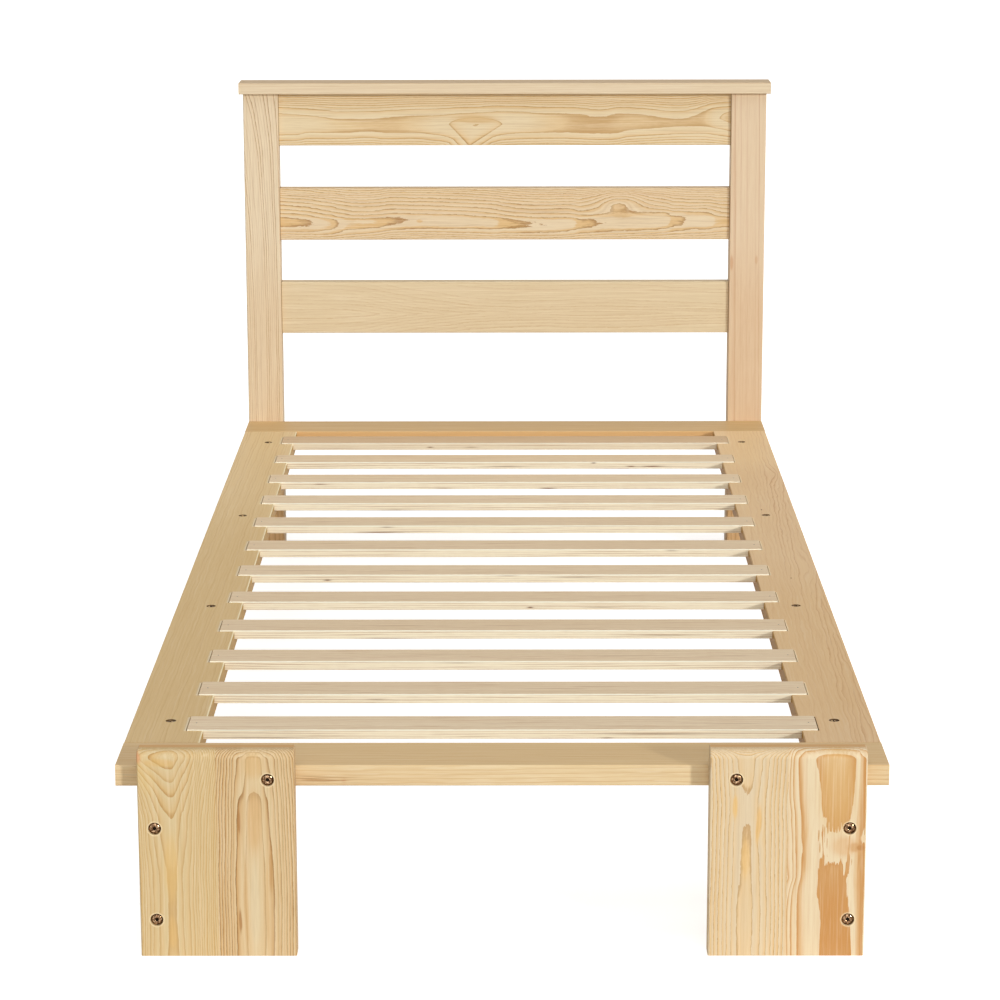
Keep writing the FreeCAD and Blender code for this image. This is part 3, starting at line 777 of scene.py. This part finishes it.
def slat_wood():
    """Pale bare slats, each cut from another part of the tree."""
    surface = Surface("slat_wood")
    x, y, z = [part / MM for part in surface.place]
    cell = slat_number(y)
    luck = surface.luck(cell + 5.0)
    other_luck = surface.luck(cell + 71.0)
    across = y - (cell * slat_pitch + slat_first_y)
    into = z * -1.0 + slat_top
    shift = x + luck * 4000.0
    wander = surface.noise(shift / 260.0, cell, 0.0)
    ripple = surface.noise(shift / 80.0, across / 12.0, into / 5.0)
    rings = (across + luck * 90.0 + wander * 5.0) / 9.0 + into / (other_luck * 2.0 + 2.2) + ripple * 0.4
    number = rings.whole()
    share = (rings - number) ** 2.0 * (surface.luck(number + cell) * 0.8 + 0.2)
    colour = surface.mix(share * 0.6, paint(248, 228, 196), paint(222, 184, 146))
    tone = surface.noise(shift / 400.0, across / 30.0, cell)
    colour = surface.mix((tone * 0.5 + other_luck) * 0.5, colour, paint(234, 208, 172))
    streak = surface.noise(shift / 120.0, across / 7.0, into / 2.4)
    colour = surface.mix(streak.rise(0.25, 0.95) * 0.3, colour, paint(178, 128, 88))
    forward = (surface.normal()[1] * -1.0).rise(0.3, 0.8)
    colour = slat_seams_and_painted_light(surface, colour, shift, into, cell, luck, other_luck, forward)
    colour = add_flecks(surface, colour, x, y, into)
    fibre = surface.noise(shift / 30.0, across / 4.0, into / 1.4)
    colour = surface.mix(fibre.size() * 0.2, colour, paint(196, 158, 122))
    # Painted shade on the slats near the headboard, less of it on their front faces
    headboard_shade = y.rise(620.0, 860.0)
    colour = surface.mix(headboard_shade * (0.55 - forward * 0.3), colour, paint(196, 160, 118))
    # Painted light: the slats' end faces are painted pale against the shade in the gaps at their ends
    end = surface.normal()[0].size().rise(0.75, 0.9)
    colour = surface.mix(end * 0.6, colour, paint(255, 240, 212))
    surface.shader.inputs["Specular IOR Level"].default_value = slat_specular
    return surface.finish(colour, fibre * 0.05 + 0.62, fibre - share, 0.25, 0.15 * MM)


def plated_metal(name, base, worn, roughness, grain=3.0, shaded_sockets=False):
    """Plated steel with slightly uneven plating, and painted shade in the bolts' sockets."""
    surface = Surface(name)
    x, y, z = [part / MM for part in surface.place]
    cloud = surface.noise(x / grain, y / grain, z / grain, detail=3.0)
    fine = surface.noise(x / 0.5, y / 0.5, z / 0.5, detail=2.0)
    colour = surface.mix(cloud.rise(-0.3, 0.9), paint(*base), paint(*worn))
    if shaded_sockets:
        # Painted shade on what lies deeper than the bolts' seats, which shows in their sockets
        socket_shade = 1.0 - (y - bolt_middle_y).size().rise(bolt_seat_reach - 0.3, bolt_seat_reach)
        colour = surface.mix(socket_shade, colour, paint(22, 15, 10))
    surface.shader.inputs["Metallic"].default_value = 1.0
    return surface.finish(colour, cloud * 0.06 + roughness, fine, 0.08, 0.05 * MM)


def bronze():
    return plated_metal("bronze_plating", (92, 64, 42), (206, 172, 136), 0.12, grain=1.8, shaded_sockets=True)


def zinc():
    return plated_metal("zinc_plating", (120, 112, 100), (160, 152, 140), 0.35)


def darkened_zinc():
    """Dull brown screws with painted bright glints."""
    surface = Surface("darkened_zinc")
    x, y, z = [part / MM for part in surface.place]
    glint_noise = surface.noise(x / 2.4 + y / 9.0, y / 2.4, z / 2.4, detail=1.0)
    # Painted glints: bright streaks on the dark screw metal
    colour = surface.mix(glint_noise.rise(0.1, 0.5), paint(58, 36, 20), paint(244, 206, 150))
    surface.shader.inputs["Metallic"].default_value = 0.2
    surface.shader.inputs["Specular IOR Level"].default_value = 0.1
    return surface.finish(colour, glint_noise * 0.06 + 0.5, glint_noise, 0.08, 0.05 * MM)


# Geometry

fastener_steps = 48
brad_steps = 16
sharp_angle = math.radians(32)
softened_angle = math.radians(50)


def piece(name, mesh, material):
    """A new piece of the bed that stays with its frame."""
    made = bpy.data.objects.new(name, mesh)
    bpy.context.scene.collection.objects.link(made)
    mesh.materials.append(material)
    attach(made, "root")
    return made


def turned(forms, steps):
    """A mesh of (rings, placement) forms. A ring is (height, reach), and reach may depend on the angle."""
    shape = bmesh.new()
    for rings, placement in forms:
        loops = []
        for height, reach in rings:
            loop = []
            for number in range(steps):
                angle = 2 * math.pi * number / steps
                radius = reach(angle) if callable(reach) else reach
                spot = Vector((radius * math.cos(angle), radius * math.sin(angle), height)) * MM
                loop.append(shape.verts.new(placement @ spot))
            loops.append(loop)
        for lower, upper in zip(loops, loops[1:]):
            for number in range(steps):
                following = (number + 1) % steps
                shape.faces.new((lower[number], lower[following], upper[following], upper[number]))
        shape.faces.new(reversed(loops[0]))
        shape.faces.new(loops[-1])
    mesh = bpy.data.meshes.new("turned")
    shape.to_mesh(mesh)
    shape.free()
    for polygon in mesh.polygons:
        polygon.use_smooth = True
    mesh.set_sharp_from_angle(angle=sharp_angle)
    return mesh


def hexagon(across_flats):
    """How far a hexagonal socket's wall is from its axis, by angle."""
    def reach(angle):
        from_flat = (angle + math.pi / 6) % (math.pi / 3) - math.pi / 6
        return across_flats / 2 / math.cos(from_flat)
    return reach


def cross(width, length):
    """How far a cross recess's wall is from its axis, by angle."""
    def reach(angle):
        from_arm = (angle + math.pi / 4) % (math.pi / 2) - math.pi / 4
        return min(length / 2, width / 2 / max(abs(math.sin(from_arm)), 0.05))
    return reach


def facing(spot, direction):
    """Places a turned form at a spot in millimetres with its head turned to a direction."""
    turn = Vector((0, 0, 1)).rotation_difference(Vector(direction))
    return Matrix.Translation(Vector(spot) * MM) @ turn.to_matrix().to_4x4()


def bolt_rings(length):
    """A domed bolt with a socket, from the tip of its shank to the socket's floor."""
    return [
        (-length, 2.2), (1.0 - length, 3.0), (-0.6, 3.0), (-0.3, 3.2), (0.0, 3.4), (0.0, 6.9), (0.25, 7.25),
        (0.9, 7.25), (1.3, 7.0), (1.9, 6.3), (2.4, 5.5), (2.75, 4.7), (2.95, 4.1), (3.1, 3.7), (3.08, 3.4),
        (2.4, hexagon(4.0)), (-0.9, hexagon(4.0)), (-1.5, 0.6)]


def screw_rings(length):
    """A flat-headed screw with a cross recess."""
    return [
        (-length, 0.4), (5.0 - length, 2.1), (-0.4, 2.25), (0.0, 2.6), (0.0, 5.3), (0.2, 5.5), (3.4, 5.5),
        (3.85, 5.2), (4.15, 4.4), (4.2, 3.6), (4.1, 3.3), (4.0, cross(1.4, 6.0)), (2.2, cross(1.0, 5.0))]


def add_bolts(name, table, seat_y, direction, material):
    """One face's bolts, on both sides of the bed."""
    forms = []
    for side in (-1, 1):
        for x, z, length in table:
            forms.append((bolt_rings(length), facing((side * x, seat_y, z), direction)))
    return piece(name, turned(forms, fastener_steps), material)


def add_front_bolts(material):
    seat_y = leg_face_y + counterbore_depth
    made = add_bolts("front_bolts_finished", front_bolts, seat_y, (0, -1, 0), material)
    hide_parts("front_leg_bolts")


def add_rear_bolts(material):
    seat_y = post_back_y - counterbore_depth
    made = add_bolts("headboard_bolts_finished", rear_bolts, seat_y, (0, 1, 0), material)
    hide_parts("headboard_bolts")


def add_screws(material):
    """The side boards' screws, each turned another way as screws end up."""
    forms = []
    for side in (-1, 1):
        for number, y in enumerate(screw_ys):
            turn = Matrix.Rotation(math.radians(23 + 37 * number + 11 * side), 4, "Z")
            seat = facing((side * screw_x, y, screw_seat_z), (0, 0, 1))
            forms.append((screw_rings(screw_length), seat @ turn))
    made = piece("deck_screws_finished", turned(forms, fastener_steps), material)
    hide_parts("deck_screws")


def add_brads(material):
    """The small pins that hold the slat ends."""
    rings = [(-0.4, 0.5), (-0.1, 0.9), (0.1, 0.95), (0.22, 0.6)]
    forms = []
    for side in (-1, 1):
        for number in range(slat_count):
            y = slat_first_y + slat_pitch * number
            forms.append((rings, facing((side * brad_x, y, slat_top), (0, 0, 1))))
    piece("slat_brads", turned(forms, brad_steps), material)


def dress(node, material):
    """Gives a CAD node its material."""
    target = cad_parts[node]
    target.data.materials.clear()
    target.data.materials.append(material)


def soften(node, width):
    """Takes the sharpness off a CAD node's edges with modifiers. Its mesh stays as it is."""
    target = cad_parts[node]
    weld = target.modifiers.new("weld", "WELD")
    weld.merge_threshold = 0.01 * MM
    bevel = target.modifiers.new("bevel", "BEVEL")
    bevel.width = width * MM
    bevel.segments = 2
    bevel.limit_method = "ANGLE"
    bevel.angle_limit = softened_angle
    bevel.harden_normals = True


# Studio

ambient_level = 0.20
ambient_colour = (1.0, 0.985, 0.96, 1.0)
floor_colour = (0.80, 0.79, 0.77, 1.0)
floor_glow = 0.72
floor_reach = 30.0
floor_height = -0.3 * MM
white = (1.0, 1.0, 1.0, 1.0)
# The camera's place in millimetres, and its turn to the left, tilt down and roll in degrees
camera_place = (11.5, -4650.5, 1375.2)
camera_angles = (0.210, 12.913, -0.099)
camera_lens = 117.86
# Each lamp's level, turn to the right, height above the horizon and spread
key_lamp = (0.46, 41.0, 13.0, 6.0)
front_lamp = (0.16, -3.0, 15.0, 30.0)
top_lamp = (0.39, 10.0, 70.0, 60.0)


def add_sun(name, level, turn, height, spread):
    """A distant soft lamp. A white surface that squarely faces it renders at its level."""
    data = bpy.data.lights.new(name, "SUN")
    data.energy = level * math.pi
    data.angle = math.radians(spread)
    lamp = bpy.data.objects.new(name, data)
    bpy.context.scene.collection.objects.link(lamp)
    turn, height = math.radians(turn), math.radians(height)
    towards = Vector((
        math.sin(turn) * math.cos(height), -math.cos(turn) * math.cos(height), math.sin(height)))
    lamp.rotation_mode = "QUATERNION"
    lamp.rotation_quaternion = towards.to_track_quat("Z", "Y")


def seen_directly(tree):
    """1 for what the camera, a mirror or clear glass shows, 0 for light that falls on surfaces."""
    path = tree.nodes.new("ShaderNodeLightPath")
    camera = Field(tree, path.outputs["Is Camera Ray"])
    glossy = Field(tree, path.outputs["Is Glossy Ray"])
    through = Field(tree, path.outputs["Is Transmission Ray"])
    return camera.above(glossy).above(through)


def add_world():
    """Soft light from all around, and a white backdrop."""
    world = bpy.data.worlds.new("studio")
    bpy.context.scene.world = world
    world.use_nodes = True
    tree = world.node_tree
    lighting = tree.nodes["Background"]
    lighting.inputs["Color"].default_value = ambient_colour
    lighting.inputs["Strength"].default_value = ambient_level
    backdrop = tree.nodes.new("ShaderNodeBackground")
    backdrop.inputs["Color"].default_value = white
    backdrop.inputs["Strength"].default_value = 1.0
    mix = tree.nodes.new("ShaderNodeMixShader")
    plug(tree, seen_directly(tree), mix.inputs[0])
    plug(tree, lighting.outputs[0], mix.inputs[1])
    plug(tree, backdrop.outputs[0], mix.inputs[2])
    plug(tree, mix.outputs[0], tree.nodes["World Output"].inputs["Surface"])


def add_floor():
    """A pale floor that shows white, with the bed's soft shadow."""
    surface = Surface("studio_floor")
    surface.shader.inputs["Base Color"].default_value = floor_colour
    surface.shader.inputs["Roughness"].default_value = 0.9
    surface.shader.inputs["Specular IOR Level"].default_value = 0.0
    surface.shader.inputs["Emission Color"].default_value = white
    plug(surface.tree, seen_directly(surface.tree) * floor_glow, surface.shader.inputs["Emission Strength"])
    mesh = bpy.data.meshes.new("floor")
    corners = ((-1, -1), (1, -1), (1, 1), (-1, 1))
    mesh.from_pydata(
        [(x * floor_reach, y * floor_reach, floor_height) for x, y in corners], [], [(0, 1, 2, 3)])
    mesh.materials.append(surface.material)
    floor = bpy.data.objects.new("floor", mesh)
    bpy.context.scene.collection.objects.link(floor)


def add_camera():
    """The photograph's viewpoint."""
    data = bpy.data.cameras.new("camera")
    data.sensor_fit = "HORIZONTAL"
    data.sensor_width = 36.0
    data.lens = camera_lens
    data.clip_end = 100.0
    camera = bpy.data.objects.new("camera", data)
    bpy.context.scene.collection.objects.link(camera)
    yaw, tilt, roll = [math.radians(angle) for angle in camera_angles]
    forward = Vector((-math.sin(yaw) * math.cos(tilt), math.cos(yaw) * math.cos(tilt), -math.sin(tilt)))
    level_right = Vector((math.cos(yaw), math.sin(yaw), 0))
    level_up = level_right.cross(forward)
    right = level_right * math.cos(roll) + level_up * math.sin(roll)
    up = level_up * math.cos(roll) - level_right * math.sin(roll)
    turn = Matrix((right, up, -forward)).transposed().to_4x4()
    camera.matrix_world = Matrix.Translation(Vector(camera_place) * MM) @ turn
    bpy.context.scene.camera = camera


def dress_boards():
    dress("headboard_rail_1", top_rail_wood())
    dress("headboard_rail_2", middle_rail_wood())
    dress("headboard_rail_3", lower_rail_wood())
    dress("headboard_cap", cap_wood())
    dress("headboard_post_left", left_post_wood())
    dress("headboard_post_right", right_post_wood())
    dress("deck_board_front", deck_front_wood())
    dress("deck_board_rear", deck_rear_wood())
    dress("side_board_left", left_side_wood())
    dress("side_board_right", right_side_wood())
    dress("front_leg_left_outer_stave", left_outer_stave_wood())
    dress("front_leg_left_inner_stave", left_inner_stave_wood())
    dress("front_leg_right_inner_stave", right_inner_stave_wood())
    dress("front_leg_right_outer_stave", right_outer_stave_wood())


def dress_supports():
    for number, (side, name) in enumerate(((-1, "left"), (1, "right"))):
        dress("side_rail_" + name, support_wood(
            "side_rail_pine_" + name, "+y", "+x", "-z", (side * 402, 0, 200), 150.0 + number))
        dress("front_leg_block_" + name, support_wood(
            "front_block_pine_" + name, "+z", "+x", "+y", (side * 402, -1012.5, 100), 160.0 + number))
        dress("rear_leg_block_" + name, support_wood(
            "rear_block_pine_" + name, "+z", "+x", "+y", (side * 420, 949.5, 100), 170.0 + number))


def dress_slats():
    material = slat_wood()
    for number in range(1, slat_count + 1):
        dress("slat_%02d" % number, material)
        soften("slat_%02d" % number, 0.5)


def add_fasteners():
    bronze_finish, zinc_finish = bronze(), zinc()
    dress("front_leg_barrel_nuts", zinc_finish)
    dress("headboard_barrel_nuts", zinc_finish)
    add_front_bolts(bronze_finish)
    add_rear_bolts(bronze_finish)
    add_screws(darkened_zinc())
    add_brads(zinc_finish)


dress_boards()
dress_supports()
dress_slats()
add_fasteners()
add_world()
add_floor()
add_sun("key", *key_lamp)
add_sun("front", *front_lamp)
add_sun("top", *top_lamp)
add_camera()
bpy.context.scene.view_settings.view_transform = "Standard"
